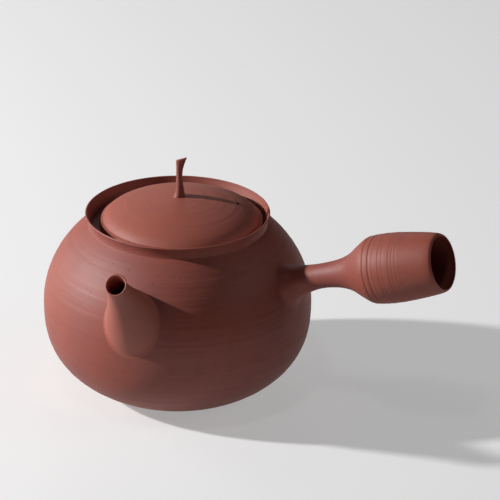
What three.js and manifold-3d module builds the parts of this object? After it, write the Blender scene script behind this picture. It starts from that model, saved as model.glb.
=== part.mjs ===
// A side-handled clay tea kettle: a thrown pot with a gallery for its lift-off lid, a spout behind a
// pierced strainer, and a hollow handle. Millimetres, +Z up. The origin is the centre of the flat base.
// The spout points along -Y and the handle leaves to the right of it.

import * as THREE from 'three';
import { mergeVertices } from 'three/addons/utils/BufferGeometryUtils.js';
import Module from 'manifold-3d';

const wasm = await Module();
wasm.setup();

// Pot
const bellyRadius = 70;
const bellyHeight = 47.8;
const crownRise = 57.9;
const underDepthShare = 1.123;
const crownPowerShare = 1.97;
const crownFlankShare = 2.08;
const underPowerShare = 2.63;
const underFlankShare = 1.89;
const potWall = 3;
const potFloor = 3.6;
const seatRadius = 48.4;

// Gaps left where one fired piece is luted to the next, and what a cutting shape runs past its cut
const luteGap = 0.3;
const overrun = 6;

// Collar: a ledge for the lid inside a thin flared lip
const ledgeThickness = 2;
const ledgeInset = 3.5;
const ledgeWidth = 6.1;
const collarRise = 5.35;
const lipInset = 0.6;
const lipWall = 1.3;
const waistInset = 2.3;

// Lid
const lidPlay = 2.6;
const lidEdge = 1.5;
const lidBand = 1.8;
const domeRise = 12.1;
const domePowerShare = 1.7;
const lidWall = 3;
const lidHollowInset = 1;
const lidUnderShare = 0.4;
const lidOffCentre = 1.85;
const lidOffCentreTurn = THREE.MathUtils.degToRad(19);
const ventRadius = 1;
const ventReach = 29.2;
const ventTurn = THREE.MathUtils.degToRad(23.8);

// Locating ring under the lid
const flangePlay = 2.6;
const flangeWall = 2.4;
const flangeDepth = 8;

// Knob: a square stalk, waisted, with a slanted top
const knobHeight = 20.1;
const knobWidth = 4.1;
const knobTopSlant = 1.7;
const knobTurn = THREE.MathUtils.degToRad(19);
const knobCornerShare = 0.22;

// Spout, its mouth placed from the belly
const spoutRise = THREE.MathUtils.degToRad(51);
const spoutLength = 50.4;
const mouthOut = 16.7;
const mouthUp = 45.5;
const mouthFacing = THREE.MathUtils.degToRad(40);
const spoutRootRadius = 15.8;
const spoutBulgeRadius = 17.3;
const spoutThroatRadius = 5.3;
const spoutMouthRadius = 5.3;
const spoutRootWall = 2.4;
const spoutMouthWall = 0.8;

// Strainer luted into the hole behind the spout
const strainerUp = 15;
const strainerHoleRadius = 9.2;
const strainerWall = 1.7;
const strainerRise = 4.6;
const pierceRadius = 1;
const pierceRingShares = [[0, 1], [0.4, 6], [0.8, 12]];

// Handle, placed from the belly: its root is sunk below the skin and cut to fit it
const handleTurn = THREE.MathUtils.degToRad(83.2);
const handleTilt = THREE.MathUtils.degToRad(17.7);
const handleUp = 4.5;
const handleSunk = 8;
const handleLength = 93.5;
const gripRadius = 17.7;
const handleWall = 2.6;
const handleLipWall = 0.75;
const lipThinFromShare = 0.85;
const rootSag = 2.9;
const rootSagLength = 26.7;
const rootSagStart = 6.4;
const rootSagPowerShare = 2.35;
const grooveDepth = 0.35;
const grooveWidth = 0.9;

// Outline of the handle: how far along its length, and the radius as a share of the grip's
const handleOutlineShares = [
  [0, 0.74], [0.03, 0.67], [0.064, 0.587], [0.107, 0.476], [0.16, 0.411], [0.214, 0.372], [0.267, 0.36],
  [0.332, 0.379], [0.396, 0.434], [0.46, 0.556], [0.524, 0.774], [0.578, 0.943], [0.62, 0.983], [0.695, 1],
  [0.781, 0.98], [0.877, 0.93], [0.952, 0.877], [0.985, 0.84], [1, 0.8],
];
const grooveAlongShares = [0.586, 0.632];

// Share of the knob's height, then its width across corners and its lean as shares of its foot's width
const knobOutlineShares = [
  [0, 1.1, -0.04], [0.09, 0.97, -0.08], [0.35, 0.86, -0.2],
  [0.6, 0.79, -0.26], [0.8, 0.95, -0.17], [1, 1.38, 0.01],
];

// Facets round each piece and along its outline
const steps = {
  pot: 56, collar: 56, lid: 56, flange: 40, spout: 28, handle: 30, hole: 8,
  potOutside: 16, potInside: 11, flare: 6, lip: 4, dome: 8, hollow: 5, band: 3, spoutSide: 10,
  handleCurve: 200, handleOutside: 22, handleInside: 12,
};

// The pot's skin is a superellipse above the belly and a deeper one below it

function skinSize(inset, above) {
  const underDepth = bellyHeight * underDepthShare;
  return {
    radius: bellyRadius - inset,
    rise: (above ? crownRise : underDepth) - inset,
    power: above ? crownPowerShare : underPowerShare,
    flank: above ? crownFlankShare : underFlankShare,
  };
}

function skinAngle(height, inset) {
  const above = height >= bellyHeight;
  const { rise, power } = skinSize(inset, above);
  const share = Math.min(Math.abs(height - bellyHeight) / rise, 1);
  const angle = Math.asin(share ** (power / 2));
  return above ? angle : -angle;
}

function skinPoint(angle, inset) {
  const { radius, rise, power, flank } = skinSize(inset, angle >= 0);
  const up = rise * Math.abs(Math.sin(angle)) ** (2 / power);
  const out = radius * Math.abs(Math.cos(angle)) ** (2 / flank);
  return new THREE.Vector2(out, bellyHeight + Math.sign(angle) * up);
}

function skinOutline(inset, low, high, count) {
  const from = skinAngle(low, inset);
  const to = skinAngle(high, inset);
  return Array.from({ length: count + 1 }, (_, i) => skinPoint(from + (to - from) * (i / count), inset));
}

function skinRadius(height, inset) {
  return skinPoint(skinAngle(height, inset), inset).x;
}

function skinHeight(radius, inset) {
  const { radius: widest, rise, power, flank } = skinSize(inset, true);
  return bellyHeight + rise * (1 - (radius / widest) ** flank) ** (1 / power);
}

// Direction square to the skin, as an angle above the horizontal
function skinFacing(height) {
  const { radius, rise, power, flank } = skinSize(0, height >= bellyHeight);
  const outward = (skinRadius(height, 0) / radius) ** (flank - 1) * flank / radius;
  const share = Math.abs(height - bellyHeight) / rise;
  const upward = Math.sign(height - bellyHeight) * share ** (power - 1) * power / rise;
  return Math.atan2(upward, outward);
}

// Heights and radii that follow from the sizes above
const seatHeight = skinHeight(seatRadius, 0);
const collarFoot = seatHeight + luteGap;
const ledgeHeight = collarFoot + ledgeThickness;
const lipHeight = ledgeHeight + collarRise;
const lipRadius = seatRadius - lipInset;
const waistRadius = seatRadius - waistInset;
const ledgeRadius = seatRadius - ledgeInset;
const ledgeInnerRadius = ledgeRadius - ledgeWidth;
const lidRadius = ledgeRadius - lidPlay;
const domeRadius = lidRadius - lidBand;
const lidFoot = ledgeHeight + luteGap;
const lidShoulder = lidFoot + lidEdge;
const lidTop = lidShoulder + domeRise;
const flangeRadius = ledgeInnerRadius - flangePlay;
const flangeInnerRadius = flangeRadius - flangeWall;
const lidHollowRadius = flangeInnerRadius - lidHollowInset;
const mouthReach = bellyRadius + mouthOut;
const mouthHeight = bellyHeight + mouthUp;
const strainerHeight = bellyHeight + strainerUp;
const handleAxisHeight = bellyHeight + handleUp;
const handleStart = bellyRadius - handleSunk;

function revolve(outline, count) {
  return new THREE.LatheGeometry(outline, count).rotateX(Math.PI / 2);
}

// Closed geometry made a solid for cutting and joining, with its faces turned outwards
function solid(geometry) {
  const bare = geometry.clone();
  bare.deleteAttribute('normal');
  bare.deleteAttribute('uv');
  const merged = mergeVertices(bare);
  const index = Array.from(merged.index.array);
  const corners = [];
  for (let i = 0; i < index.length; i += 3) {
    const [a, b, c] = index.slice(i, i + 3);
    if (a !== b && b !== c && c !== a) corners.push(a, b, c);
  }
  const flip = signedVolume(merged.attributes.position, corners) < 0;
  const triVerts = new Uint32Array(flip ? corners.reverse() : corners);
  const vertProperties = new Float32Array(merged.attributes.position.array);
  return new wasm.Manifold(new wasm.Mesh({ numProp: 3, vertProperties, triVerts }));
}

function signedVolume(position, corners) {
  const [a, b, c] = [new THREE.Vector3(), new THREE.Vector3(), new THREE.Vector3()];
  let sum = 0;
  for (let i = 0; i < corners.length; i += 3) {
    a.fromBufferAttribute(position, corners[i]);
    b.fromBufferAttribute(position, corners[i + 1]);
    c.fromBufferAttribute(position, corners[i + 2]);
    sum += a.dot(b.cross(c));
  }
  return sum;
}

function geometryOf(piece) {
  const mesh = piece.getMesh();
  const geometry = new THREE.BufferGeometry();
  geometry.setAttribute('position', new THREE.BufferAttribute(mesh.vertProperties, mesh.numProp));
  geometry.setIndex(new THREE.BufferAttribute(mesh.triVerts, 1));
  geometry.computeVertexNormals();
  return geometry;
}

// Rings of equal count joined in order, with flat ends
function loft(rings) {
  const count = rings[0].length;
  const position = rings.flat().flatMap((p) => p.toArray());
  const index = [];
  for (let j = 0; j + 1 < rings.length; j += 1) {
    for (let i = 0; i < count; i += 1) {
      const next = (i + 1) % count;
      const [a, b] = [j * count + i, j * count + next];
      index.push(a, b, a + count, b, b + count, a + count);
    }
  }
  const last = (rings.length - 1) * count;
  for (let i = 1; i + 1 < count; i += 1) {
    index.push(0, i + 1, i, last, last + i, last + i + 1);
  }
  const geometry = new THREE.BufferGeometry();
  geometry.setAttribute('position', new THREE.Float32BufferAttribute(position, 3));
  geometry.setIndex(index);
  return geometry;
}

// The pot without its hollow, grown by the luting gap: what the spout and handle are cut to fit
function potBlank() {
  const outline = skinOutline(-luteGap, 0, seatHeight, steps.potOutside);
  outline.unshift(new THREE.Vector2(0, 0));
  outline.push(new THREE.Vector2(0, seatHeight));
  return solid(revolve(outline, steps.pot));
}

// Lays a piece made along +Z out from the pot: turned from the front, raised, and moved to its start.
// Its own +Y ends up on top.
function layMatrix(turn, rise, start) {
  const along = new THREE.Vector3(Math.sin(turn), -Math.cos(turn), 0).multiplyScalar(Math.cos(rise));
  along.setZ(Math.sin(rise));
  const side = new THREE.Vector3(Math.cos(turn), Math.sin(turn), 0);
  const over = new THREE.Vector3().crossVectors(along, side);
  return new THREE.Matrix4().makeBasis(side, over, along).setPosition(start);
}

function kettleBody() {
  const outer = skinOutline(0, 0, seatHeight, steps.potOutside);
  const inner = skinOutline(potWall, potFloor, seatHeight, steps.potInside).reverse();
  const outline = [new THREE.Vector2(0, 0), ...outer, ...inner, new THREE.Vector2(0, potFloor)];
  const hole = new THREE.CylinderGeometry(strainerHoleRadius, strainerHoleRadius, 4 * potWall, steps.spout);
  hole.rotateX(Math.PI / 2);
  hole.applyMatrix4(layMatrix(0, skinFacing(strainerHeight), strainerCentre()));
  return solid(revolve(outline, steps.pot)).subtract(solid(hole));
}

function collarRing() {
  const foot = new THREE.Vector2(skinRadius(collarFoot, 0), collarFoot);
  const lipRound = lipWall / 2;
  const flareTop = new THREE.Vector2(lipRadius, lipHeight - lipRound);
  const flare = new THREE.CubicBezierCurve(
    foot,
    new THREE.Vector2(waistRadius, ledgeHeight - lipRound),
    new THREE.Vector2(waistRadius - lipRound, ledgeHeight + lipWall),
    flareTop,
  ).getPoints(steps.flare);
  const lipCurve = new THREE.EllipseCurve(lipRadius - lipRound, flareTop.y, lipRound, lipRound, 0, Math.PI);
  const outline = [
    ...flare,
    ...lipCurve.getPoints(steps.lip).slice(1),
    new THREE.Vector2(ledgeRadius, ledgeHeight),
    new THREE.Vector2(ledgeInnerRadius, ledgeHeight),
    new THREE.Vector2(ledgeInnerRadius, collarFoot),
    foot,
  ];
  return solid(revolve(outline, steps.collar));
}

// Radius of the sphere that rises so far over a circle, and that arc's outline from edge to axis
function curveOf(radius, rise) {
  return (radius ** 2 + rise ** 2) / (2 * rise);
}

function arcOver(radius, rise, count) {
  const curve = curveOf(radius, rise);
  const spread = Math.asin(radius / curve);
  return Array.from({ length: count + 1 }, (_, i) => {
    const angle = spread * (1 - i / count);
    return new THREE.Vector2(curve * Math.sin(angle), curve * (Math.cos(angle) - 1) + rise);
  });
}

function raised(points, height) {
  return points.map((p) => new THREE.Vector2(p.x, p.y + height));
}

// The lid's dome is fuller at its shoulder than a ball. Its outline, from edge to axis
function domeOver(radius, rise, count) {
  const power = 2 / domePowerShare;
  return Array.from({ length: count + 1 }, (_, i) => {
    const angle = (Math.PI / 2) * (i / count);
    return new THREE.Vector2(radius * Math.cos(angle) ** power, rise * Math.sin(angle) ** power);
  });
}

function lidBlank(grown) {
  const dome = raised(domeOver(domeRadius, domeRise + grown, steps.dome), lidShoulder);
  const foot = [new THREE.Vector2(0, lidFoot), new THREE.Vector2(domeRadius, lidFoot)];
  return solid(revolve([...foot, ...dome], steps.lid));
}

function lid() {
  const under = lidEdge * lidUnderShare;
  const widest = lidFoot + under;
  const band = new THREE.EllipseCurve(
    domeRadius, widest, lidRadius - domeRadius, lidShoulder - widest, 0, Math.PI / 2,
  );
  const dome = raised(domeOver(domeRadius, domeRise, steps.dome), lidShoulder);
  const hollowDome = domeOver(lidHollowRadius, lidTop - lidWall - lidFoot, steps.hollow);
  const hollow = raised(hollowDome, lidFoot).reverse();
  const outline = [
    ...hollow,
    new THREE.Vector2(lidRadius - under, lidFoot),
    ...band.getPoints(steps.band),
    ...dome.slice(1),
  ];
  const vent = new THREE.CylinderGeometry(ventRadius, ventRadius, lidTop - lidFoot + overrun, steps.hole);
  vent.rotateX(Math.PI / 2);
  vent.translate(ventReach * Math.cos(ventTurn), ventReach * Math.sin(ventTurn), (lidTop + lidFoot) / 2);
  return solid(revolve(outline, steps.lid)).subtract(solid(vent));
}

function lidFlange() {
  const top = lidFoot - luteGap;
  const low = top - flangeDepth;
  const bevel = flangeWall / 4;
  const outline = [
    new THREE.Vector2(flangeInnerRadius, low + bevel),
    new THREE.Vector2(flangeInnerRadius + bevel, low),
    new THREE.Vector2(flangeRadius - bevel, low),
    new THREE.Vector2(flangeRadius, low + bevel),
    new THREE.Vector2(flangeRadius, top),
    new THREE.Vector2(flangeInnerRadius, top),
    new THREE.Vector2(flangeInnerRadius, low + bevel),
  ];
  return solid(revolve(outline, steps.flange));
}

// One level of the knob: a square with cut corners, an arris turned to the front
function knobRing([share, widthShare, leanShare]) {
  const half = (knobWidth * widthShare) / (Math.SQRT2 * (2 - knobCornerShare));
  const cut = half * knobCornerShare;
  const square = [
    [half, half - cut], [half - cut, half], [cut - half, half], [-half, half - cut],
    [-half, cut - half], [cut - half, -half], [half - cut, -half], [half, cut - half],
  ];
  return square.map(([x, y]) => {
    const corner = new THREE.Vector2(x, y).rotateAround(new THREE.Vector2(), Math.PI / 4);
    const slant = (knobTopSlant * share * corner.x) / (knobWidth * widthShare);
    return new THREE.Vector3(corner.x + knobWidth * leanShare, corner.y, lidTop + knobHeight * share + slant);
  });
}

function lidKnob() {
  const [, footWidth, footLean] = knobOutlineShares[0];
  const sunk = [-knobWidth / knobHeight, footWidth, footLean];
  const stalk = loft([sunk, ...knobOutlineShares].map(knobRing));
  stalk.rotateZ(knobTurn);
  return solid(stalk).subtract(lidBlank(luteGap));
}

function spoutOutline(rootWall, mouthWall) {
  const radii = [
    spoutRootRadius - rootWall,
    spoutBulgeRadius - rootWall,
    spoutThroatRadius - mouthWall,
    spoutMouthRadius - mouthWall,
  ];
  const controls = radii.map((radius, i) => new THREE.Vector2(radius, (spoutLength * i) / 3));
  const side = new THREE.CubicBezierCurve(...controls).getPoints(steps.spoutSide);
  const end = spoutLength + overrun;
  side.push(new THREE.Vector2(radii[3], end));
  return [new THREE.Vector2(0, 0), ...side, new THREE.Vector2(0, end)];
}

function spoutMouth() {
  return new THREE.Vector3(0, -mouthReach, mouthHeight);
}

function alongSpout(outline) {
  const back = new THREE.Vector3(0, Math.cos(spoutRise), -Math.sin(spoutRise)).multiplyScalar(spoutLength);
  return revolve(outline, steps.spout).applyMatrix4(layMatrix(0, spoutRise, spoutMouth().add(back)));
}

function spout() {
  const trim = new THREE.BoxGeometry(8 * spoutMouthRadius, 8 * spoutMouthRadius, 2 * overrun);
  trim.translate(0, 0, overrun);
  trim.applyMatrix4(layMatrix(0, mouthFacing, spoutMouth()));
  return solid(alongSpout(spoutOutline(0, 0)))
    .subtract(solid(alongSpout(spoutOutline(spoutRootWall, spoutMouthWall))))
    .subtract(solid(trim))
    .subtract(potBlank());
}

// Where the strainer's axis leaves the pot's outer skin
function strainerCentre() {
  return new THREE.Vector3(0, -skinRadius(strainerHeight, 0), strainerHeight);
}

// A cup through the pot's wall with a pierced dome that bulges into the pot
function spoutStrainer() {
  const rim = strainerHoleRadius - luteGap;
  const inner = rim - strainerWall;
  const sunk = (points, depth) => points.map((p) => new THREE.Vector2(p.x, depth - p.y));
  const dome = sunk(arcOver(rim, strainerRise, steps.dome), -potWall).reverse();
  const halfWall = strainerWall / 2;
  const hollow = sunk(arcOver(inner, strainerRise - halfWall, steps.hollow), halfWall - potWall);
  const top = -2 * luteGap;
  const outline = [...dome, new THREE.Vector2(rim, top), new THREE.Vector2(inner, top), ...hollow];
  const curve = curveOf(rim, strainerRise);
  const spread = Math.asin(inner / curve);
  let cup = solid(revolve(outline, steps.spout));
  for (const [spreadShare, count] of pierceRingShares) {
    for (let i = 0; i < count; i += 1) {
      const pierce = new THREE.CylinderGeometry(pierceRadius, pierceRadius, 2 * curve, steps.hole);
      pierce.translate(0, curve, 0);
      pierce.rotateX(spread * spreadShare - Math.PI / 2);
      pierce.rotateZ((2 * Math.PI * i) / count);
      pierce.translate(0, 0, curve - potWall - strainerRise);
      cup = cup.subtract(solid(pierce));
    }
  }
  return cup.transform(layMatrix(0, skinFacing(strainerHeight), strainerCentre()).toArray());
}

// The handle's outline is a smooth curve through its shares, read at any share of its length
const handleCurve = new THREE.SplineCurve(handleOutlineShares.map(([x, y]) => new THREE.Vector2(x, y)));
const handleSamples = handleCurve.getPoints(steps.handleCurve);

function handleRadius(share) {
  const next = Math.max(1, handleSamples.findIndex((p) => p.x >= Math.min(share, 1)));
  const [a, b] = [handleSamples[next - 1], handleSamples[next]];
  return gripRadius * THREE.MathUtils.mapLinear(Math.min(share, 1), a.x, b.x, a.y, b.y);
}

function grooveAt(share) {
  const half = grooveWidth / 2 / handleLength;
  return grooveDepth * Math.max(0, ...grooveAlongShares.map((g) => 1 - Math.abs(share - g) / half));
}

function boreRadius(share) {
  const thin = THREE.MathUtils.smoothstep(share, lipThinFromShare, 1);
  return handleRadius(share) - THREE.MathUtils.lerp(handleWall, handleLipWall, thin);
}

function evenShares(count) {
  return Array.from({ length: count + 1 }, (_, i) => i / count);
}

// Near the pot the handle's centre line sags, so its root spreads downwards more than upwards
function sag(geometry) {
  const position = geometry.attributes.position;
  for (let i = 0; i < position.count; i += 1) {
    const from = position.getZ(i) - rootSagStart;
    const drop = rootSag * Math.max(0, 1 - from / rootSagLength) ** rootSagPowerShare;
    position.setY(i, position.getY(i) - drop);
  }
  return geometry;
}

function alongHandle(outline) {
  const start = new THREE.Vector3(Math.sin(handleTurn), -Math.cos(handleTurn), 0);
  start.multiplyScalar(handleStart * Math.cos(handleTilt));
  start.setZ(handleAxisHeight + handleStart * Math.sin(handleTilt));
  return sag(revolve(outline, steps.handle)).applyMatrix4(layMatrix(handleTurn, handleTilt, start));
}

function handle() {
  const half = grooveWidth / 2 / handleLength;
  const grooves = grooveAlongShares.flatMap((g) => [g - half, g, g + half]);
  const shares = [...evenShares(steps.handleOutside), ...grooves].sort((a, b) => a - b);
  const side = shares.map((share) => (
    new THREE.Vector2(handleRadius(share) - grooveAt(share), handleLength * share)
  ));
  const outer = [new THREE.Vector2(0, 0), ...side, new THREE.Vector2(0, handleLength)];
  const wall = evenShares(steps.handleInside).map((share) => (
    new THREE.Vector2(boreRadius(share), handleLength * share)
  ));
  const past = handleLength + overrun;
  wall.push(new THREE.Vector2(boreRadius(1), past));
  const bore = [new THREE.Vector2(0, 0), ...wall, new THREE.Vector2(0, past)];
  return solid(alongHandle(outer)).subtract(solid(alongHandle(bore))).subtract(potBlank());
}

// The pieces, each in its own clay colour
const clay = { pot: 0x8a4a3f, spout: 0x864639, handle: 0x82443a, lid: 0x8c4a3c, hidden: 0x6e3a30 };

function piece(name, shape, color) {
  const material = new THREE.MeshStandardMaterial({ color, roughness: 0.72, metalness: 0 });
  const mesh = new THREE.Mesh(geometryOf(shape), material);
  mesh.name = name;
  return mesh;
}

const lidGroup = new THREE.Group();
lidGroup.position.set(Math.cos(lidOffCentreTurn), Math.sin(lidOffCentreTurn), 0);
lidGroup.position.multiplyScalar(lidOffCentre);
lidGroup.add(
  piece('lid', lid(), clay.lid),
  piece('lid_flange', lidFlange(), clay.hidden),
  piece('lid_knob', lidKnob(), clay.lid),
);

const kettle = new THREE.Group();
kettle.add(
  piece('kettle_body', kettleBody(), clay.pot),
  piece('collar_ring', collarRing(), clay.pot),
  piece('spout', spout(), clay.spout),
  piece('spout_strainer', spoutStrainer(), clay.hidden),
  piece('handle', handle(), clay.handle),
  lidGroup,
);

export default kettle;
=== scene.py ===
import math
import bpy
from mathutils import Matrix, Vector

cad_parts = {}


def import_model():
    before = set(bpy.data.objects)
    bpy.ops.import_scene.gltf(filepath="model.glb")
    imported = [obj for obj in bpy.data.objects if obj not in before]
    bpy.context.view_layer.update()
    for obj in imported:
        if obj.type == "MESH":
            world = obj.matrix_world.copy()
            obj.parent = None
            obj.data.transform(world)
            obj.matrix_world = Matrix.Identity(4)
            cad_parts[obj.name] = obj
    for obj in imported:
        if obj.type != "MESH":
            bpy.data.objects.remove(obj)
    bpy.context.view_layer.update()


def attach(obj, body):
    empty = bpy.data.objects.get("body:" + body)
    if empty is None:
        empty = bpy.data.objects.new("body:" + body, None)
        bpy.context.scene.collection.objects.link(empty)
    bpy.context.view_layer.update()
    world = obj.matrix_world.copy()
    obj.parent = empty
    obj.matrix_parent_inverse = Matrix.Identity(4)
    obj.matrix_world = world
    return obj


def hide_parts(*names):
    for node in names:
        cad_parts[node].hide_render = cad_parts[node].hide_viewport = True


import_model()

# A side-handled clay tea kettle. Metres, +Z up, the flat base on the floor at the origin, the spout
# along -Y and the handle leaving to the right of it. Sizes repeat the solids' own.

# In each group, steps, rows, shares and segments only set how finely a piece is meshed.

# Pot: a superellipse turned about its axis, with one (rise, power, flank) above the belly and one below
BELLY_RADIUS = 0.070
BELLY_HEIGHT = 0.0478
CROWN = (0.0579, 1.97, 2.08)
UNDER = (BELLY_HEIGHT * 1.123, 2.63, 1.89)
POT_WALL = 0.003
POT_FLOOR = 0.0036
BASE_EDGE = 0.0007
POT_STEP = 0.0006
HOLLOW_STEP = 0.0018
SKIN_SAMPLES = 600
BASE_SHARES = (0.2, 0.4, 0.6, 0.8, 0.9)
FLOOR_SHARES = (0.8, 0.6, 0.4, 0.2, 0)
INNER_EDGE_ROWS = 3
INNER_EDGE_REACH = 0.004
POT_SEGMENTS = 192

# Throwing rings: each wave's pitch, depth and phase, and the length over which they fade at both ends
POT_WAVES = (
    (0.0031, 0.000016, 0.4), (0.0047, 0.000020, 2.1), (0.0078, 0.000022, 4.4), (0.0023, 0.000008, 1.3),
)
DOME_WAVES = ((0.0034, 0.000012, 0.2), (0.0051, 0.000014, 1.9), (0.0087, 0.000016, 3.6))
WAVE_FADE = 0.004

# Collar: its joint in the skin, the crease where its neck rises, its lip, the gutter inside, and the
# ledge that carries the lid
COLLAR_FOOT_RADIUS = 0.0484
CREASE_RADIUS = 0.0465
NECK_LEAN = ((0.04615, 0.0931), (0.04665, 0.0951))
LIP_RADIUS = 0.0478
LIP_HEIGHT = 0.09763
LIP_WALL = 0.0010
GUTTER_RADII = (0.0402, 0.0446)
GUTTER_DEPTH = 0.0022
LEDGE_HEIGHT = 0.09228
LEDGE_INNER_RADIUS = 0.0388
LEDGE_THICKNESS = 0.0034
LEDGE_ROUND = 0.0004
LEDGE_UNDER_SHARE = 0.6
GUTTER_ROUND = 0.0008
GUTTER_INNER_ROUND = 0.0006
GUTTER_WALL_LEAN = (0.0007, 0.0020)
GUTTER_REACH = (-0.0001, 0.0004)
GUTTER_CLEARANCE = 0.0003
JOINT_ROUND = 0.0012
SHOULDER_STEP = 0.0003
NECK_STEPS = 30
LIP_STEPS = 12
GUTTER_STEPS = 5
COLLAR_SEGMENTS = 160

# Lid, a little off the collar's centre
LID_CENTRE = (0.001749, 0.000602)
LID_RADIUS = 0.0423
LID_FOOT = 0.09258
LID_EDGE = 0.0015
DOME_RADIUS = 0.0405
DOME_RISE = 0.0121
DOME_POWER = 1.7
LID_WALL = 0.0030
LID_HOLLOW_RADIUS = 0.0328
BAND_WIDEST = 0.00060
BAND_GROOVE = 0.00015
DOME_EDGE_RADIUS = 0.0407
DOME_EDGE_HEIGHT = 0.0005
DOME_EDGE_END = 0.0021
VENT_RADIUS = 0.0010
VENT_REACH = 0.0292
VENT_TURN = math.radians(23.8)
VENT_ROD = 0.030
VENT_ROD_DEPTH = 0.005
BAND_SWEEP = (-40, 90)
BAND_STEPS = 16
BAND_FOOT_INSET = 0.0006
DOME_CORNER = 0.0002
DOME_STEP = 0.0006
DOME_SAMPLES = 400
LID_HOLLOW_STEPS = 24
LID_SEGMENTS = 160

# Locating ring under the lid
RING_RADII = (0.0338, 0.0362)
RING_DEPTH = 0.0080
RING_ROUND = 0.0007
RING_STEP = 0.001
RING_ROUND_STEPS = 6
RING_SEGMENTS = 128

# Knob: a stalk deeper behind than in front, whose head slants and falls away behind. Levels give the share
# of its height, half its side, its lean to the right, and its twist
KNOB_HEIGHT = 0.0201
KNOB_TURN = math.radians(19)
KNOB_TOP_SLANT = 0.30
KNOB_TOP_FALL = 0.45
KNOB_SQUARENESS = 3.0
KNOB_BACK_DEPTH = 1.5
KNOB_TOP_FRONT_DEPTH = 0.5
KNOB_BACK_LEAN = 0.0018
KNOB_LEVELS = (
    (0.00, 0.00215, -0.00004, 16), (0.05, 0.00200, -0.00014, 16), (0.12, 0.00186, -0.00030, 20),
    (0.35, 0.00158, -0.00080, 32), (0.60, 0.00146, -0.00107, 30), (0.80, 0.00188, -0.00074, 14),
    (1.00, 0.00286, 0.00002, 2),
)
KNOB_SMEAR = ((0.00, 0.0020), (0.03, 0.0017), (0.10, 0.0010), (0.20, 0.0006), (0.36, 0.0003), (0.50, 0.0))
KNOB_SMEAR_SPREAD = 0.8
KNOB_SMEAR_TURN = math.radians(195)
KNOB_RIM = ((0.99, 0.992), (0.94, 1))
KNOB_TOP_SHARES = (0.7, 0.35, 0)
KNOB_ROWS = 36
KNOB_SEGMENTS = 48

# Spout: its axis, its mouth, and its radius as a curve through four even steps
SPOUT_RISE = math.radians(51)
SPOUT_LENGTH = 0.0504
MOUTH_CENTRE = (0.0, -0.0867, 0.0933)
MOUTH_FACING = math.radians(40)
SPOUT_RADII = (0.0158, 0.0173, 0.0053, 0.0053)
SPOUT_WALLS = (0.0024, 0.0024, 0.0008, 0.0008)
MOUTH_FLARE = 0.0003
MOUTH_FLARE_LENGTH = 0.0028
SPOUT_FILLETS = (0.0004, 0.0024)
SPOUT_ROOT_REACH = (-0.01, 0.045)
SPOUT_FIRST_ROW = 0.012
SPOUT_ROWS = 60
SPOUT_COLUMNS = 128

# Strainer cup in the hole behind the spout
STRAINER_HEIGHT = 0.0628
STRAINER_HOLE_RADIUS = 0.0092
STRAINER_RIM = 0.0089
STRAINER_WALL = 0.0017
STRAINER_RISE = 0.0046
PIERCE_RADIUS = 0.0010
PIERCE_RINGS = ((0.0, 1), (0.4, 6), (0.8, 12))
STRAINER_STEPS = (20, 16, 8)
STRAINER_SEGMENTS = 96

# Handle: its axis, its outline as shares of length and of the grip's radius, and its sagging root
HANDLE_TURN = math.radians(83.2)
HANDLE_TILT = math.radians(17.7)
HANDLE_AXIS_HEIGHT = 0.0523
HANDLE_START = 0.0620
HANDLE_LENGTH = 0.0935
GRIP_RADIUS = 0.0177
HANDLE_WALL = 0.0026
HANDLE_LIP_WALL = 0.00075
LIP_THIN_FROM = 0.85
ROOT_SAG = 0.0029
ROOT_SAG_START = 0.0064
ROOT_SAG_LENGTH = 0.0267
ROOT_SAG_POWER = 2.35
HANDLE_FILLETS = (0.0010, 0.0022)
HANDLE_ROOT_REACH = (0, 0.030)
HANDLE_WARP = (0.020, 0.004)
HANDLE_FIRST_ROW = 0.012
HANDLE_FINE_SHARES = (0.55, 0.82)
HANDLE_STEPS = (0.001, 0.0002, 0.0007)
HANDLE_SAMPLES = 200
HANDLE_COLUMNS = 144
HANDLE_OUTLINE = (
    (0, 0.74), (0.03, 0.67), (0.064, 0.587), (0.107, 0.476), (0.16, 0.411), (0.214, 0.372), (0.267, 0.36),
    (0.332, 0.379), (0.396, 0.434), (0.46, 0.556), (0.524, 0.774), (0.578, 0.943), (0.62, 0.983),
    (0.695, 1), (0.781, 0.98), (0.877, 0.93), (0.952, 0.877), (0.985, 0.84), (1, 0.8),
)

# Grooves and ridges left on the handle by the tool: share of its length, half width, and height. The
# sharpness sets how fast each falls away
RING_SHARPNESS = 1.4
HANDLE_RINGS = (
    (0.608, 0.00050, -0.00024), (0.643, 0.00050, -0.00026), (0.626, 0.00080, 0.00004),
    (0.656, 0.00060, 0.00004), (0.672, 0.00050, -0.00003), (0.682, 0.00050, 0.00003),
    (0.694, 0.00045, 0.00007), (0.703, 0.00050, -0.00003), (0.727, 0.00045, -0.00004),
    (0.745, 0.00045, 0.00003), (0.757, 0.00045, 0.00007), (0.766, 0.00050, -0.00003),
    (0.785, 0.00045, -0.00005), (0.805, 0.00045, -0.00005), (0.825, 0.00050, -0.00003),
)

# Luted tubes: the rows of their fillet, rim and bore, and how far the fillet's toe is sunk in the skin
FILLET_ROWS = 8
RIM_ROWS = 10
BORE_ROWS = 36
TOE_SUNK = 0.00004

# Shared by all pieces: the merge distance, how far hidden edges are sunk, the angles over which an edge
# stays sharp, the sides of a round cutter, and the halvings that find a crossing
MERGE = 1e-6
SUNK = 0.0003
EDGE_SHARP_OVER = 40
RIM_SHARP_OVER = 50
ROD_SIDES = 48
HALVINGS = 40


# Shared hands: picking, cutting, smoothing

def pick(*objects):
    bpy.ops.object.select_all(action="DESELECT")
    for obj in objects:
        obj.select_set(True)
    bpy.context.view_layer.objects.active = objects[0]


def renamed(obj, name):
    obj.name = name
    obj.data.name = name
    return obj


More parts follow.
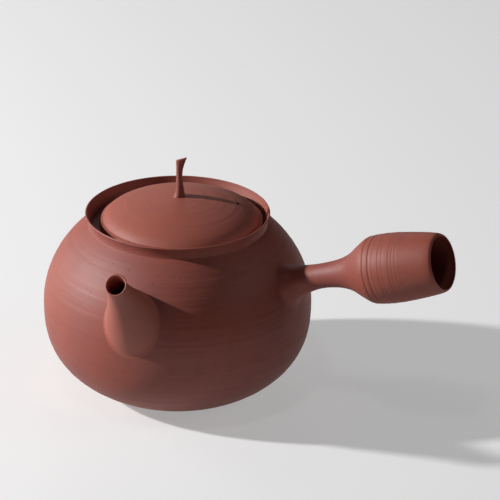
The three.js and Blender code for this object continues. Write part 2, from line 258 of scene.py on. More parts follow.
def closed_up(obj):
    """Merges the seam and the poles, and turns every face outwards."""
    pick(obj)
    bpy.ops.object.mode_set(mode="EDIT")
    bpy.ops.mesh.select_all(action="SELECT")
    bpy.ops.mesh.remove_doubles(threshold=MERGE)
    bpy.ops.mesh.normals_make_consistent(inside=False)
    bpy.ops.object.mode_set(mode="OBJECT")
    return obj


def smoothed(obj, degrees=EDGE_SHARP_OVER):
    pick(obj)
    bpy.ops.object.shade_smooth_by_angle(angle=math.radians(degrees))
    return obj


def cut(obj, *cutters):
    for cutter in cutters:
        modifier = obj.modifiers.new("cut", "BOOLEAN")
        modifier.operation = "DIFFERENCE"
        modifier.solver = "EXACT"
        modifier.object = cutter
        pick(obj)
        bpy.ops.object.modifier_apply(modifier=modifier.name)
        bpy.data.objects.remove(cutter)
    return obj


def rod(radius, depth, place, matrix=Matrix()):
    """A round cutter, its middle at a place in a piece's own frame."""
    bpy.ops.mesh.primitive_cylinder_add(vertices=ROD_SIDES, radius=radius, depth=depth, location=place)
    bpy.ops.object.transform_apply()
    obj = bpy.context.object
    obj.data.transform(matrix)
    return obj


def turned(name, outline, segments, centre=(0, 0)):
    """An outline of (radius, height) points, pulled out point by point and spun once round its axis."""
    x, y = centre
    (radius, height), *rest = outline
    bpy.ops.mesh.primitive_plane_add(size=SUNK, location=(x + radius, y, height))
    obj = renamed(bpy.context.object, name)
    bpy.ops.object.transform_apply()
    bpy.ops.object.mode_set(mode="EDIT")
    bpy.ops.mesh.select_all(action="SELECT")
    bpy.ops.mesh.merge(type="CENTER")
    for next_radius, next_height in rest:
        step = (next_radius - radius, 0, next_height - height)
        bpy.ops.mesh.extrude_region_move(TRANSFORM_OT_translate={"value": step})
        radius, height = next_radius, next_height
    bpy.ops.mesh.select_all(action="SELECT")
    bpy.ops.mesh.spin(steps=segments, angle=math.tau, center=(x, y, 0), axis=(0, 0, 1))
    bpy.ops.object.mode_set(mode="OBJECT")
    return closed_up(obj)


# Outlines

def between(a, b, share):
    return a + (b - a) * share


def read_table(table, at):
    """The values in a table at a place between its rows, on straight lines from row to row."""
    for low, high in zip(table, table[1:]):
        if at <= high[0]:
            share = max(0, (at - low[0]) / (high[0] - low[0]))
            return [between(a, b, share) for a, b in zip(low[1:], high[1:])]
    return list(table[-1][1:])


def eased(table, at):
    """The same, on a smooth curve through the rows."""
    count = len(table)
    for index in range(count - 1):
        if at <= table[index + 1][0] or index == count - 2:
            before, low, high, after = (table[max(0, min(count - 1, index + k))] for k in (-1, 0, 1, 2))
            width = high[0] - low[0]
            share = max(0, min(1, (at - low[0]) / width))
            values = []
            for b, p, q, a in zip(before[1:], low[1:], high[1:], after[1:]):
                leave = (q - b) / (high[0] - before[0]) * width
                arrive = (a - p) / (after[0] - low[0]) * width
                values.append(
                    p * (2 * share ** 3 - 3 * share ** 2 + 1) + leave * (share ** 3 - 2 * share ** 2 + share)
                    + q * (3 * share ** 2 - 2 * share ** 3) + arrive * (share ** 3 - share ** 2)
                )
            return values


def bezier(points, share):
    """A point, or a plain value, on the curve held by any number of control points."""
    while len(points) > 1:
        points = [between(a, b, share) for a, b in zip(points, points[1:])]
    return points[0]


def curve(controls, count=6):
    controls = [Vector(p) for p in controls]
    return [bezier(controls, i / count) for i in range(count + 1)]


def arc(centre, radius, start, end, count):
    """Points round a centre, from one angle to another in degrees. Radius may be one for each direction."""
    across, up = radius if isinstance(radius, tuple) else (radius, radius)
    angles = [math.radians(between(start, end, i / count)) for i in range(count + 1)]
    return [Vector((centre[0] + across * math.cos(a), centre[1] + up * math.sin(a))) for a in angles]


def evenly(points, step):
    """The same line with its points a step apart."""
    points = [Vector(p) for p in points]
    reach = [0]
    for a, b in zip(points, points[1:]):
        reach.append(reach[-1] + (b - a).length)
    count = max(1, round(reach[-1] / step))
    result, index = [], 0
    for i in range(count + 1):
        at = reach[-1] * i / count
        while index < len(points) - 2 and reach[index + 1] < at:
            index += 1
        share = (at - reach[index]) / (reach[index + 1] - reach[index])
        result.append(points[index].lerp(points[index + 1], share))
    return result


def ringed(points, waves):
    """Throwing rings: the line pushed inwards along its normal, still at both ends."""
    reach = [0]
    for a, b in zip(points, points[1:]):
        reach.append(reach[-1] + (b - a).length)
    result = [points[0]]
    for before, point, after, at in zip(points, points[1:], points[2:], reach[1:]):
        run = (after - before).normalized()
        still = min(1, at / WAVE_FADE, (reach[-1] - at) / WAVE_FADE)
        push = sum(depth * (math.sin(math.tau * at / pitch + phase) - 1) for pitch, depth, phase in waves)
        result.append(point + Vector((run.y, -run.x)) * push * still)
    return result + [points[-1]]


# The pot's skin

def skin_radius(height, inset=0.0):
    rise, power, flank = CROWN if height >= BELLY_HEIGHT else UNDER
    share = min(abs(height - BELLY_HEIGHT) / (rise - inset), 1)
    return (BELLY_RADIUS - inset) * (1 - share ** power) ** (1 / flank)


def skin_height(radius, inset=0.0):
    rise, power, flank = CROWN
    share = radius / (BELLY_RADIUS - inset)
    return BELLY_HEIGHT + (rise - inset) * (1 - share ** flank) ** (1 / power)


def skin_line(low, high, step, inset=0.0):
    heights = [between(low, high, i / SKIN_SAMPLES) for i in range(SKIN_SAMPLES + 1)]
    return evenly([(skin_radius(h, inset), h) for h in heights], step)


def skin_normal(point):
    small = 1e-5
    slope = (skin_radius(point.z + small) - skin_radius(point.z - small)) / (2 * small)
    level = Vector((point.x, point.y, 0)).normalized()
    return (level - Vector((0, 0, slope))).normalized()


def clearance(point):
    """How far a point is outside the skin, measured level."""
    return math.hypot(point.x, point.y) - skin_radius(point.z)


def onto_skin(point, sunk):
    reach = (skin_radius(point.z) - sunk) / math.hypot(point.x, point.y)
    return Vector((point.x * reach, point.y * reach, point.z))


COLLAR_FOOT = Vector((COLLAR_FOOT_RADIUS, skin_height(COLLAR_FOOT_RADIUS)))
JOINT_INNER_RADIUS = skin_radius(COLLAR_FOOT.y, POT_WALL)


def pot():
    base = skin_radius(0)
    side = ringed(skin_line(2 * BASE_EDGE, COLLAR_FOOT.y, POT_STEP), POT_WAVES)
    edge = curve([(base - 2 * BASE_EDGE, 0), (base, 0), side[0]])
    hollow = skin_line(POT_FLOOR, COLLAR_FOOT.y, HOLLOW_STEP, POT_WALL)
    corner = hollow[0]
    inner_edge = curve([hollow[INNER_EDGE_ROWS], corner, (corner.x - INNER_EDGE_REACH, POT_FLOOR)])
    outline = [
        (0, 0), *[(base * s, 0) for s in BASE_SHARES], *edge, *side[1:],
        *reversed(hollow[INNER_EDGE_ROWS + 1:]), *inner_edge,
        *[(corner.x * s, POT_FLOOR) for s in FLOOR_SHARES],
    ]
    shell = turned("pot", outline, POT_SEGMENTS)
    hole = rod(STRAINER_HOLE_RADIUS, 4 * POT_WALL, (0, 0, 0), strainer_frame())
    return smoothed(cut(shell, hole))


def collar():
    lip_round = LIP_WALL / 2
    lip = (LIP_RADIUS - lip_round, LIP_HEIGHT - lip_round)
    crease = Vector((CREASE_RADIUS, skin_height(CREASE_RADIUS)))
    shoulder = skin_line(COLLAR_FOOT.y, crease.y, SHOULDER_STEP)
    neck = curve([crease, *NECK_LEAN, (LIP_RADIUS, lip[1])], NECK_STEPS)
    inner, outer = GUTTER_RADII
    gutter = LEDGE_HEIGHT - GUTTER_DEPTH
    lean_out, lean_up = GUTTER_WALL_LEAN
    inside = curve([(lip[0] - lip_round, lip[1]), (outer + lean_out, gutter + lean_up),
                    (outer, gutter + GUTTER_ROUND)], LIP_STEPS)
    nose = LEDGE_THICKNESS / 2
    under = LEDGE_HEIGHT - LEDGE_THICKNESS
    outline = [
        *shoulder, *neck[1:], *arc(lip, lip_round, 0, 180, LIP_STEPS)[1:], *inside[1:],
        *curve([inside[-1], (outer, gutter), (outer - GUTTER_ROUND, gutter)], GUTTER_STEPS)[1:],
        *curve([(inner + GUTTER_ROUND, gutter), (inner, gutter), (inner, gutter + GUTTER_INNER_ROUND)],
               GUTTER_STEPS),
        *arc((inner - LEDGE_ROUND, LEDGE_HEIGHT - LEDGE_ROUND), LEDGE_ROUND, 0, 90, GUTTER_STEPS),
        *arc((LEDGE_INNER_RADIUS + nose, LEDGE_HEIGHT - nose), nose, 90, 270, LIP_STEPS)[1:],
        (between(LEDGE_INNER_RADIUS, JOINT_INNER_RADIUS, LEDGE_UNDER_SHARE), under),
        *curve([(JOINT_INNER_RADIUS - JOINT_ROUND, under), (JOINT_INNER_RADIUS, under),
                (JOINT_INNER_RADIUS, COLLAR_FOOT.y)]),
        COLLAR_FOOT,
    ]
    ring = turned("collar", outline, COLLAR_SEGMENTS)
    # The gutter's faces take the second material, near-black as painted shade.
    nearest, farthest = (radius + reach for radius, reach in zip(GUTTER_RADII, GUTTER_REACH))
    for face in ring.data.polygons:
        across = nearest < math.hypot(face.center.x, face.center.y) < farthest
        deep = under + GUTTER_CLEARANCE < face.center.z < LEDGE_HEIGHT - GUTTER_CLEARANCE
        face.material_index = int(across and deep)
    return smoothed(ring, RIM_SHARP_OVER)


def dome_line(radius, rise, foot, count):
    """From the edge of a dome to its top."""
    ball = (radius ** 2 + rise ** 2) / (2 * rise)
    spread = math.asin(radius / ball)
    angles = [spread * (1 - i / count) for i in range(count + 1)]
    return [Vector((ball * math.sin(a), foot + rise - ball * (1 - math.cos(a)))) for a in angles]


def lid_dome(radius, rise, foot, count):
    """The same for the lid, whose dome is fuller at its shoulder than a ball."""
    power = 2 / DOME_POWER
    angles = [math.pi / 2 * i / count for i in range(count)]
    line = [Vector((radius * math.cos(a) ** power, foot + rise * math.sin(a) ** power)) for a in angles]
    return [*line, Vector((0, foot + rise))]


LID_SHOULDER = LID_FOOT + LID_EDGE
LID_TOP = LID_SHOULDER + DOME_RISE


def lid():
    widest = LID_FOOT + BAND_WIDEST
    hollow = lid_dome(LID_HOLLOW_RADIUS, LID_TOP - LID_WALL - LID_FOOT, LID_FOOT, LID_HOLLOW_STEPS)
    groove = DOME_EDGE_RADIUS + BAND_GROOVE
    band = arc((groove, widest), (LID_RADIUS - groove, LID_SHOULDER - widest), *BAND_SWEEP, BAND_STEPS)
    whole = lid_dome(DOME_RADIUS, DOME_RISE, LID_SHOULDER, DOME_SAMPLES)
    above = [p for p in whole if p.y > LID_SHOULDER + DOME_EDGE_END]
    corner = Vector((DOME_EDGE_RADIUS, LID_SHOULDER + DOME_EDGE_HEIGHT))
    start = corner + Vector((-DOME_CORNER, DOME_CORNER))
    dome = ringed(evenly([start, *above], DOME_STEP), DOME_WAVES)
    seam = [band[-1], corner - Vector((0, DOME_EDGE_HEIGHT + BAND_GROOVE)), corner, dome[0]]
    foot = Vector((band[0].x - BAND_FOOT_INSET, LID_FOOT))
    outline = [*reversed(hollow), foot, *band, *seam[1:], *dome[1:]]
    piece = turned("lid", [*outline[:-1], (0, LID_TOP)], LID_SEGMENTS, LID_CENTRE)
    x, y = LID_CENTRE
    x, y = x + VENT_REACH * math.cos(VENT_TURN), y + VENT_REACH * math.sin(VENT_TURN)
    return smoothed(cut(piece, rod(VENT_RADIUS, VENT_ROD, (x, y, LID_TOP - VENT_ROD_DEPTH))))


def locating_ring():
    inner, outer = RING_RADII
    top = LID_FOOT + SUNK
    low = top - SUNK - RING_DEPTH
    turn = RING_ROUND
    outline = [
        (inner, top), (outer, top), *evenly([(outer, top - RING_STEP), (outer, low + turn)], RING_STEP),
        *arc((outer - turn, low + turn), turn, 0, -90, RING_ROUND_STEPS)[1:],
        *arc((inner + turn, low + turn), turn, 270, 180, RING_ROUND_STEPS),
        *evenly([(inner, low + turn), (inner, top - RING_STEP)], RING_STEP)[1:], (inner, top),
    ]
    return smoothed(turned("locating_ring", outline, RING_SEGMENTS, LID_CENTRE))


def knob():
    """A pinched square stalk, twisted as it rises, with a smear of clay at its foot."""
    edge = [(1, i / KNOB_ROWS) for i in range(KNOB_ROWS)]
    top = [(share, 1) for share in KNOB_TOP_SHARES]
    blank = turned("knob", [(0, 0), *edge, *KNOB_RIM, *top], KNOB_SEGMENTS)
    centre = Vector((*LID_CENTRE, 0))
    for vertex in blank.data.vertices:
        x, y, level = vertex.co
        share, angle = math.hypot(x, y), math.atan2(y, x)
        half, lean, twist = eased(KNOB_LEVELS, level)
        (smear,) = read_table(KNOB_SMEAR, level)
        across = angle - math.radians(twist) + math.pi / 2
        flat = abs(math.cos(across)) ** KNOB_SQUARENESS + abs(math.sin(across)) ** KNOB_SQUARENESS
        reach = half * flat ** (-1 / KNOB_SQUARENESS)
        away = math.remainder(angle - KNOB_SMEAR_TURN, math.tau)
        reach += smear * math.exp(-(away / KNOB_SMEAR_SPREAD) ** 2)
        x, y = share * reach * math.cos(angle), share * reach * math.sin(angle)
        y *= KNOB_BACK_DEPTH if y > 0 else between(1, KNOB_TOP_FRONT_DEPTH, level ** 2)
        slant = level ** 3 * (KNOB_TOP_SLANT * x - KNOB_TOP_FALL * max(0, y))
        back = y + KNOB_BACK_LEAN * level ** 2
        vertex.co = (x + lean, back, LID_TOP - SUNK + level * (KNOB_HEIGHT + SUNK) + slant)
    blank.data.transform(Matrix.Translation(centre) @ Matrix.Rotation(KNOB_TURN, 4, "Z"))
    return smoothed(closed_up(blank), RIM_SHARP_OVER)


# Tubes luted to the pot

def laid(turn, rise, start):
    """The frame of a piece made along +Z: turned from the front, raised, and moved to its start."""
    along = Vector((math.sin(turn) * math.cos(rise), -math.cos(turn) * math.cos(rise), math.sin(rise)))
    side = Vector((math.cos(turn), math.sin(turn), 0))
    matrix = Matrix((side, along.cross(side), along)).transposed().to_4x4()
    matrix.translation = start
    return matrix


def strainer_frame():
    place = Vector((0, -skin_radius(STRAINER_HEIGHT), STRAINER_HEIGHT))
    facing = skin_normal(place)
    return laid(0, math.atan2(facing.z, -facing.y), place)


def strainer():
    """A cup through the pot's wall, its dome pierced by rings of round holes."""
    def sunk(line, depth):
        return [Vector((p.x, depth - p.y)) for p in line]

    inner, half = STRAINER_RIM - STRAINER_WALL, STRAINER_WALL / 2
    dome_steps, hollow_steps, lip_steps = STRAINER_STEPS
    dome = sunk(dome_line(STRAINER_RIM, STRAINER_RISE, 0, dome_steps), -POT_WALL)
    hollow = sunk(dome_line(inner, STRAINER_RISE - half, 0, hollow_steps), half - POT_WALL)
    top = -2 * SUNK
    lip = arc((between(inner, STRAINER_RIM, 0.5), top - half), half, 0, 180, lip_steps)
    cup = turned("strainer", [*reversed(dome), *lip, *hollow], STRAINER_SEGMENTS)
    ball = (STRAINER_RIM ** 2 + STRAINER_RISE ** 2) / (2 * STRAINER_RISE)
    spread = math.asin(inner / ball)
    middle = Matrix.Translation((0, 0, ball - POT_WALL - STRAINER_RISE))
    rods = []
    for share, count in PIERCE_RINGS:
        for i in range(count):
            round_axis = Matrix.Rotation(math.tau * i / count, 4, "Z")
            lean = Matrix.Rotation(spread * share, 4, "X")
            rods.append(rod(PIERCE_RADIUS, ball, (0, 0, -ball), middle @ round_axis @ lean))
    pick(*rods)
    bpy.ops.object.join()
    cut(cup, bpy.context.object)
    cup.data.transform(strainer_frame())
    return smoothed(cup)


def crossing(function, low, high):
    """Where a rising function passes zero."""
    for _ in range(HALVINGS):
        middle = between(low, high, 0.5)
        low, high = (middle, high) if function(middle) < 0 else (low, middle)
    return high


def straight(along):
    """The sag of a tube that has none."""
    return 0.0


def luted_tube(name, matrix, radius, bore, sag, reach, mouth, stations, warp, fillets, columns):
    """A tube whose root follows the skin with a small hollow fillet, and whose thin rim is rounded.

    Stations are the lengths of its rows. Near the root they shift with the skin, fading over the first
    warp, and near the mouth they shift with its slant, fading over the second."""
    def point(size, angle, along):
        return matrix @ Vector((size * math.cos(angle), size * math.sin(angle) - sag(along), along))

    def leaves_skin(size, angle):
        return crossing(lambda along: clearance(point(size(along), angle, along)), *reach)

    angles = [math.tau * i / columns for i in range(columns)]
    roots = [leaves_skin(radius, angle) for angle in angles]
    feet = [point(radius(root), angle, root) for root, angle in zip(roots, angles)]
    middle = sum(feet, Vector()) / columns
    rows_of = []
    for i, (angle, root, foot) in enumerate(zip(angles, roots, feet)):
        normal = skin_normal(foot)
        run = feet[(i + 1) % columns] - feet[i - 1]
        away = normal.cross(run).normalized()
        away = away if away.dot(foot - middle) > 0 else -away
        size = between(*fillets, (0.5 - 0.5 * math.sin(angle)) ** 2)
        first = root + size
        toe = onto_skin(foot + away * size, TOE_SUNK)
        rows = [toe - normal * SUNK]
        heel = point(radius(first), angle, first)
        rows += [bezier([toe, foot, heel], k / FILLET_ROWS) for k in range(FILLET_ROWS)]
        end = mouth(angle)
        thick = (radius(end) - bore(end)) / 2
        for station in stations:
            root_fade = max(0, 1 - (station - stations[0]) / warp[0])
            mouth_fade = max(0, 1 - (stations[-1] - station) / warp[1])
            along = station + (first - stations[0]) * root_fade + (end - thick - stations[-1]) * mouth_fade
            rows.append(point(radius(along), angle, along))
        for k in range(1, RIM_ROWS):
            turn = math.pi * k / RIM_ROWS
            rows.append(point(
                bore(end) + thick * (1 + math.cos(turn)), angle, end - thick + thick * math.sin(turn)))
        inner_root = leaves_skin(bore, angle)
        for k in range(BORE_ROWS + 1):
            along = between(end - thick, inner_root, k / BORE_ROWS)
            rows.append(point(bore(along), angle, along))
        rows.append(rows[-1] - normal * SUNK)
        rows_of.append(rows)
    count = len(rows_of[0])
    bpy.ops.mesh.primitive_torus_add(
        major_segments=columns, minor_segments=count, major_radius=1, minor_radius=0.5, generate_uvs=False)
    tube = renamed(bpy.context.object, name)
    for vertex, place in zip(tube.data.vertices, (place for rows in rows_of for place in rows)):
        vertex.co = place
    # The faces inside the bore take the second material, near-black as painted shade.
    lip = FILLET_ROWS + 1 + len(stations) + RIM_ROWS
    for index, face in enumerate(tube.data.polygons):
        face.material_index = int(index % count >= lip)
    return smoothed(closed_up(tube), RIM_SHARP_OVER)


def spout():
    matrix = laid(0, SPOUT_RISE, Vector(MOUTH_CENTRE))
    matrix.translation -= SPOUT_LENGTH * Vector(matrix.col[2][:3])
    bores = [r - w for r, w in zip(SPOUT_RADII, SPOUT_WALLS)]

    def flare(along):
        return MOUTH_FLARE * max(0, 1 - (SPOUT_LENGTH - along) / MOUTH_FLARE_LENGTH) ** 2

    def radius(along):
        return bezier(SPOUT_RADII, min(1, along / SPOUT_LENGTH)) + flare(along)

    def bore(along):
        return bezier(bores, min(1, along / SPOUT_LENGTH)) + flare(along)

    def mouth(angle):
        return SPOUT_LENGTH + SPOUT_RADII[-1] * math.sin(angle) * math.tan(SPOUT_RISE - MOUTH_FACING)

    stations = [between(SPOUT_FIRST_ROW, SPOUT_LENGTH, i / SPOUT_ROWS) for i in range(SPOUT_ROWS + 1)]
    whole = SPOUT_LENGTH - SPOUT_FIRST_ROW
    return luted_tube("spout", matrix, radius, bore, straight, SPOUT_ROOT_REACH, mouth,
                      stations, (whole, whole), SPOUT_FILLETS, SPOUT_COLUMNS)


def spline_samples(points, count):
    """Points along a smooth curve through the given ones."""
    last = len(points) - 1
    samples = []
    for k in range(count + 1):
        place = last * k / count
        index = min(int(place), last - 1)
        t = place - index
        p0, p1, p2, p3 = (Vector(points[max(0, min(last, index + j))]) for j in (-1, 0, 1, 2))
        leave, arrive = (p2 - p0) / 2, (p3 - p1) / 2
        samples.append((2 * p1 - 2 * p2 + leave + arrive) * t ** 3
                       + (-3 * p1 + 3 * p2 - 2 * leave - arrive) * t ** 2 + leave * t + p1)
    return samples


def handle():
    level = Vector((math.sin(HANDLE_TURN), -math.cos(HANDLE_TURN), 0)) * HANDLE_START * math.cos(HANDLE_TILT)
    start = level + Vector((0, 0, HANDLE_AXIS_HEIGHT + HANDLE_START * math.sin(HANDLE_TILT)))
    samples = [tuple(p) for p in spline_samples(HANDLE_OUTLINE, HANDLE_SAMPLES)]

    def plain(along):
        share = max(0, min(1, along / HANDLE_LENGTH))
        return GRIP_RADIUS * read_table(samples, share)[0]

    def radius(along):
        rings = 0
        for share, half, height in HANDLE_RINGS:
            off = abs(along - share * HANDLE_LENGTH) / half
            rings += height * math.exp(-off ** 2 * RING_SHARPNESS)
        return plain(along) + rings

    def bore(along):
        thin = max(0, min(1, (along / HANDLE_LENGTH - LIP_THIN_FROM) / (1 - LIP_THIN_FROM)))
        thin = thin * thin * (3 - 2 * thin)
        return plain(along) - between(HANDLE_WALL, HANDLE_LIP_WALL, thin)

    def sag(along):
        return ROOT_SAG * max(0, 1 - (along - ROOT_SAG_START) / ROOT_SAG_LENGTH) ** ROOT_SAG_POWER

    bounds = [HANDLE_FIRST_ROW, *(share * HANDLE_LENGTH for share in HANDLE_FINE_SHARES), HANDLE_LENGTH]
    stations = [HANDLE_FIRST_ROW]
    for low, high, step in zip(bounds, bounds[1:], HANDLE_STEPS):
        stations += [p.x for p in evenly([(low, 0), (high, 0)], step)][1:]
    return luted_tube("handle", laid(HANDLE_TURN, HANDLE_TILT, start), radius, bore, sag, HANDLE_ROOT_REACH,
                      lambda angle: HANDLE_LENGTH, stations, HANDLE_WARP, HANDLE_FILLETS, HANDLE_COLUMNS)


# Clay

class Wire:
    """A socket that sums like a number: each operator adds its Math node."""

    def __init__(self, recipe, socket):
        self.recipe = recipe
        self.socket = socket

    def __add__(self, other):
        return self.recipe.sum("ADD", self, other)

    def __sub__(self, other):
        return self.recipe.sum("SUBTRACT", self, other)

    def __mul__(self, other):
        return self.recipe.sum("MULTIPLY", self, other)

    def __pow__(self, other):
        return self.recipe.sum("POWER", self, other)

    __radd__ = __add__


class Recipe:
    """A material and the one way to add a node to it."""

    def __init__(self, name):
        self.material = bpy.data.materials.new(name)
        self.material.use_nodes = True
        self.tree = self.material.node_tree
        self.shader = self.tree.nodes["Principled BSDF"]

    def feed(self, socket, value):
        if isinstance(value, Wire):
            self.tree.links.new(value.socket, socket)
        else:
            socket.default_value = value

    def node(self, kind, settings=(), sockets=(), output=0):
        node = self.tree.nodes.new(kind)
        for name, value in dict(settings).items():
            setattr(node, name, value)
        for name, value in dict(sockets).items():
            self.feed(node.inputs[name], value)
        return Wire(self, node.outputs[output])

    def sum(self, operation, a, b):
        return self.node("ShaderNodeMath", {"operation": operation}, {0: a, 1: b})

    def mix(self, amount, a, b):
        return self.node("ShaderNodeMix", {"data_type": "RGBA"}, {0: amount, 6: a, 7: b}, 2)

    def noise(self, vector, scale, detail, rough):
        sockets = {"Vector": vector, "Scale": scale, "Detail": detail, "Roughness": rough}
        return self.node("ShaderNodeTexNoise", {}, sockets)

    def step(self, value, low, high):
        return self.node("ShaderNodeMapRange", {"interpolation_type": "SMOOTHSTEP"},
                         {"Value": value, "From Min": low, "From Max": high})


def linear(*levels):
    """A colour given in screen levels from 0 to 255."""
    shares = [v / 255 for v in levels]
    return (*(s / 12.92 if s <= 0.04045 else ((s + 0.055) / 1.055) ** 2.4 for s in shares), 1)


# Clay colours. Umber is for blotches and streaks, and also for painted shade that darkens whole pieces; the
# pale grain colour is for grains, and also for painted light that makes whole pieces paler; the near-black is
# for pits, and also for painted shade that blackens the gutter and the bores
BRICK = linear(163, 79, 61)
ROSE = linear(156, 80, 70)
UMBER = linear(121, 56, 44)
PALE_GRAIN_AND_PAINTED_LIGHT = linear(196, 112, 92)
PIT_DARK_AND_PAINTED_SHADE = linear(30, 15, 12)
ROUGHNESS = 0.60
SPECULAR_LEVEL = 0.70

# Ring noises: cells per metre across the rings and along them. Then the detail and roughness of all three,
# how much less they change along Y than along X, and the height of the wider rings
RINGS = (420, 14)
FINE_RINGS = (1300, 25)
BANDS = (90, 10)
RING_NOISE = (2.0, 0.55)
RING_SKEW = 0.6
RING_HEIGHT = 0.040

# Plain noise: scale, detail and roughness
CLOUD = (22, 3, 0.55)
BLOTCH = (95, 3, 0.6)
GRAIN = (1500, 2, 0.6)
SAND = (3200, 1, 0.5)
PITS = (520, 1, 0.4)

# How each noise is cut, and how far it moves the colour, the roughness and the height
MIDDLE = 0.5
BAND_SHARE = 0.35
CLOUD_CUT = (0.36, 0.64)
BLOTCH_CUT = (0.45, 0.80)
BLOTCH_SHARE = 0.30
STREAK_SHARE = 0.10
RING_SHARE = 0.16
FINE_RING_SHARE = 0.08
GRAIN_CUT = (0.52, 0.75)
GRAIN_SHARE = 0.16
PIT_CUT = (0.76, 0.80)
PIT_SHARE = 0.55
GRAIN_ROUGHNESS = 0.20
RING_ROUGHNESS = 0.10
GRAIN_HEIGHT = 0.020
SAND_HEIGHT = 0.012
PIT_DEPTH = 0.12
BUMP_DISTANCE = 0.001


def clay(name, matrix=Matrix(), ring_height=RING_HEIGHT, painted_deep_shade=0.0, painted_light=0.0, painted_shade=0.0, fine=1.5):
    """Unglazed red clay, thrown about the +Z axis of a frame: rings and streaks round that axis.

    The three tone shares after the ring height paint near-black shade, pale light and umber shade over the
    whole piece, and fine is the finest rings' height against the wider ones'."""
    recipe = Recipe(name)
    place = recipe.node("ShaderNodeTexCoord", output="Object")
    turn, shift = matrix.to_euler(), matrix.translation
    own = recipe.node("ShaderNodeMapping", {"vector_type": "TEXTURE"},
                      {"Vector": place, "Location": shift, "Rotation": turn})
    split = recipe.node("ShaderNodeSeparateXYZ", {}, {0: own})
    x, y, z = (Wire(recipe, split.socket.node.outputs[k]) for k in range(3))
    out = (x * x + y * y) ** 0.5

    def round_axis(across, along):
        vector = recipe.node("ShaderNodeCombineXYZ", {},
                             {0: out * across, 1: z * across, 2: x * along + y * RING_SKEW * along})
        return recipe.noise(vector, 1.0, *RING_NOISE) - MIDDLE

    rings = round_axis(*RINGS)
    fine_rings = round_axis(*FINE_RINGS)
    bands = round_axis(*BANDS)
    cloud = recipe.noise(place, *CLOUD)
    blotch = recipe.noise(place, *BLOTCH)
    grain = recipe.noise(place, *GRAIN)
    sand = recipe.noise(place, *SAND)
    pits = recipe.step(recipe.noise(place, *PITS), *PIT_CUT)

    tone = recipe.mix(recipe.step(cloud + bands * BAND_SHARE, *CLOUD_CUT), BRICK, ROSE)
    tone = recipe.mix(recipe.step(blotch, *BLOTCH_CUT) * BLOTCH_SHARE, tone, UMBER)
    tone = recipe.mix(rings * RING_SHARE + fine_rings * FINE_RING_SHARE + STREAK_SHARE, tone, UMBER)
    tone = recipe.mix(recipe.step(grain, *GRAIN_CUT) * GRAIN_SHARE, tone, PALE_GRAIN_AND_PAINTED_LIGHT)
    tone = recipe.mix(pits * PIT_SHARE, tone, PIT_DARK_AND_PAINTED_SHADE)
    # Painted light and shade over the whole piece: paler, darker, or near-black.
    for amount, colour in ((painted_light, PALE_GRAIN_AND_PAINTED_LIGHT), (painted_shade, UMBER), (painted_deep_shade, PIT_DARK_AND_PAINTED_SHADE)):
        if amount:
            tone = recipe.mix(amount, tone, colour)
    recipe.feed(recipe.shader.inputs["Base Color"], tone)
    roughness = ROUGHNESS + (grain - MIDDLE) * GRAIN_ROUGHNESS + rings * RING_ROUGHNESS
    recipe.feed(recipe.shader.inputs["Roughness"], roughness)
    height = (rings * ring_height + fine_rings * ring_height * fine
              + (grain - MIDDLE) * GRAIN_HEIGHT + (sand - MIDDLE) * SAND_HEIGHT - pits * PIT_DEPTH)
    bump = recipe.node("ShaderNodeBump", {}, {"Height": height, "Distance": BUMP_DISTANCE, "Strength": 1.0})
    recipe.feed(recipe.shader.inputs["Normal"], bump)
    recipe.shader.inputs["Specular IOR Level"].default_value = SPECULAR_LEVEL
    return recipe.material


def dressed(piece, body, slot, materials, *nodes):
    piece.data.materials.clear()
    for material in materials:
        piece.data.materials.append(material)
    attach(piece, body)
    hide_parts(*nodes)
    return piece


# The kettle

bpy.ops.object.select_all(action="DESELECT")
lid_frame = Matrix.Translation((*LID_CENTRE, 0))
spout_frame = laid(0, SPOUT_RISE, Vector(MOUTH_CENTRE))
handle_frame = laid(HANDLE_TURN, HANDLE_TILT, Vector((0, 0, HANDLE_AXIS_HEIGHT)))
# The pieces are one clay. The lid and spout are made paler as painted light, the pot, handle and knob darker
# as painted shade, and the gutter and bores near-black as painted shade.
pot_clay = clay("pot clay", ring_height=0.030, painted_shade=0.15, fine=2.4)
lid_clay = clay("lid clay", lid_frame, ring_height=0.010, painted_light=0.3)
knob_clay = clay("knob clay", lid_frame, ring_height=0.0, painted_shade=0.4)
gutter_painted_shade = clay("gutter painted shade", painted_deep_shade=0.8)
spout_clay = clay("spout clay", spout_frame, ring_height=0.012, painted_light=0.3)
spout_bore_painted_shade = clay("spout bore painted shade", spout_frame, ring_height=0.012, painted_deep_shade=0.9)
handle_clay = clay("handle clay", handle_frame, ring_height=0.020, painted_shade=0.1)
handle_bore_painted_shade = clay("handle bore painted shade", handle_frame, ring_height=0.020, painted_deep_shade=0.9)
strainer_clay = clay("strainer clay", strainer_frame())

dressed(pot(), "pot", "pot_clay", [pot_clay], "kettle_body")
dressed(collar(), "pot", "pot_clay", [pot_clay, gutter_painted_shade], "collar_ring")
dressed(spout(), "pot", "spout_clay", [spout_clay, spout_bore_painted_shade], "spout")
dressed(handle(), "pot", "handle_clay", [handle_clay, handle_bore_painted_shade], "handle")
dressed(lid(), "lid", "lid_clay", [lid_clay], "lid")
dressed(knob(), "lid", "lid_clay", [knob_clay], "lid_knob")
dressed(locating_ring(), "lid", "inner_clay", [lid_clay], "lid_flange")
dressed(strainer(), "pot", "inner_clay", [strainer_clay], "spout_strainer")


# Floor, lamps and camera

# View: its turn from the spout, its rise and roll, its distance from the belly's centre, the focal length
# in pixels, and where that centre lies in a picture of 500 by 500
VIEW_AZIMUTH = math.radians(19.0)
VIEW_ELEVATION = math.radians(24.325)
VIEW_ROLL = math.radians(0.645)
VIEW_DISTANCE = 1.5
VIEW_FOCAL = 2865.0
VIEW_NEAREST = 0.05
FRAME_SIZE = 500
BELLY_IN_FRAME = (177.764, 298.406)
SENSOR_WIDTH = 36

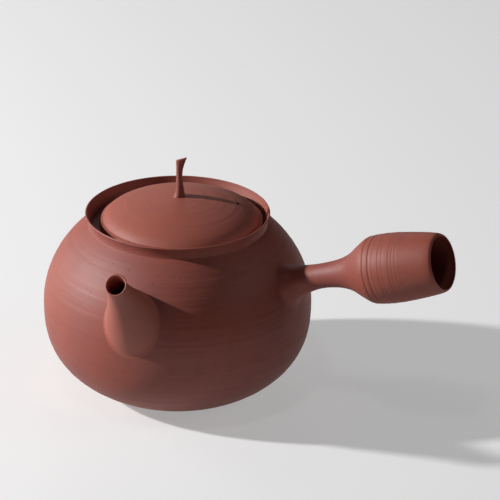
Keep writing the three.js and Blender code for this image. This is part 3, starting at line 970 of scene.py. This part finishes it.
# Lamps: turn from the camera's side and rise in degrees, distance, width and power
LAMPS = (
    ("key", -88.5, 27, 1.6, 0.08, 29.0), ("low", -124, 12, 1.6, 0.56, 3.6), ("back", -175, 26, 1.6, 0.85, 1.5),
    ("side", 82, 30, 1.6, 0.85, 2.3), ("over", -20, 65, 1.6, 0.22, 1.0),
)
WORLD_LEVEL = 0.01

# Floor: its colour and glow as the camera sees them, and its colour for light that bounces on
FLOOR_SIZE = 12
FLOOR_ROUGHNESS = 0.9
FLOOR_WHITE = linear(212, 212, 212)
FLOOR_GLOW = 0.345
FLOOR_BOUNCE = linear(178, 168, 164)
BLACK = linear(0, 0, 0)
WHITE = linear(255, 255, 255)


def floor():
    bpy.ops.mesh.primitive_plane_add(size=FLOOR_SIZE, location=(0, 0, 0))
    obj = renamed(bpy.context.object, "floor")
    recipe = Recipe("floor paper")
    recipe.shader.inputs["Roughness"].default_value = FLOOR_ROUGHNESS
    camera_ray, glossy_ray, transmission_ray = (
        recipe.node("ShaderNodeLightPath", output=name)
        for name in ("Is Camera Ray", "Is Glossy Ray", "Is Transmission Ray"))
    seen = camera_ray + glossy_ray + transmission_ray
    recipe.feed(recipe.shader.inputs["Base Color"], recipe.mix(seen, FLOOR_BOUNCE, FLOOR_WHITE))
    glow = recipe.mix(seen, BLACK, (FLOOR_GLOW, FLOOR_GLOW, FLOOR_GLOW, 1))
    recipe.feed(recipe.shader.inputs["Emission Color"], glow)
    recipe.shader.inputs["Emission Strength"].default_value = 1.0
    obj.data.materials.append(recipe.material)


def camera():
    sin, cos = math.sin, math.cos
    right = Vector((cos(VIEW_AZIMUTH), sin(VIEW_AZIMUTH), 0))
    forward = Vector((-sin(VIEW_AZIMUTH) * cos(VIEW_ELEVATION), cos(VIEW_AZIMUTH) * cos(VIEW_ELEVATION),
                      -sin(VIEW_ELEVATION)))
    up = right.cross(forward)
    off_x, off_y = (p - FRAME_SIZE / 2 for p in BELLY_IN_FRAME)
    x = (cos(-VIEW_ROLL) * off_x - sin(-VIEW_ROLL) * off_y) / VIEW_FOCAL
    y = -(sin(-VIEW_ROLL) * off_x + cos(-VIEW_ROLL) * off_y) / VIEW_FOCAL
    place = Vector((0, 0, BELLY_HEIGHT)) - VIEW_DISTANCE * (forward + right * x + up * y)
    matrix = Matrix((right, up, -forward)).transposed().to_4x4() @ Matrix.Rotation(VIEW_ROLL, 4, "Z")
    matrix.translation = place
    bpy.ops.object.camera_add()
    obj = bpy.context.object
    obj.matrix_world = matrix
    obj.data.sensor_width = SENSOR_WIDTH
    obj.data.lens = SENSOR_WIDTH * VIEW_FOCAL / FRAME_SIZE
    obj.data.clip_start = VIEW_NEAREST
    bpy.context.scene.camera = obj


def lamps():
    """Round lamps that face the belly's centre."""
    middle = Vector((0, 0, BELLY_HEIGHT))
    for name, turn, rise, distance, width, power in LAMPS:
        turn, rise = math.radians(turn) + VIEW_AZIMUTH, math.radians(rise)
        toward = Vector((math.sin(turn) * math.cos(rise), -math.cos(turn) * math.cos(rise), math.sin(rise)))
        bpy.ops.object.light_add(type="AREA", location=middle + toward * distance)
        lamp = renamed(bpy.context.object, name)
        lamp.rotation_euler = toward.to_track_quat("Z", "Y").to_euler()
        lamp.data.shape = "DISK"
        lamp.data.size = width
        lamp.data.energy = power


def world():
    scene = bpy.context.scene
    scene.world = bpy.data.worlds.new("room")
    scene.world.use_nodes = True
    background = scene.world.node_tree.nodes["Background"]
    background.inputs["Color"].default_value = WHITE
    background.inputs["Strength"].default_value = WORLD_LEVEL
    scene.view_settings.view_transform = "Standard"


floor()
camera()
lamps()
world()
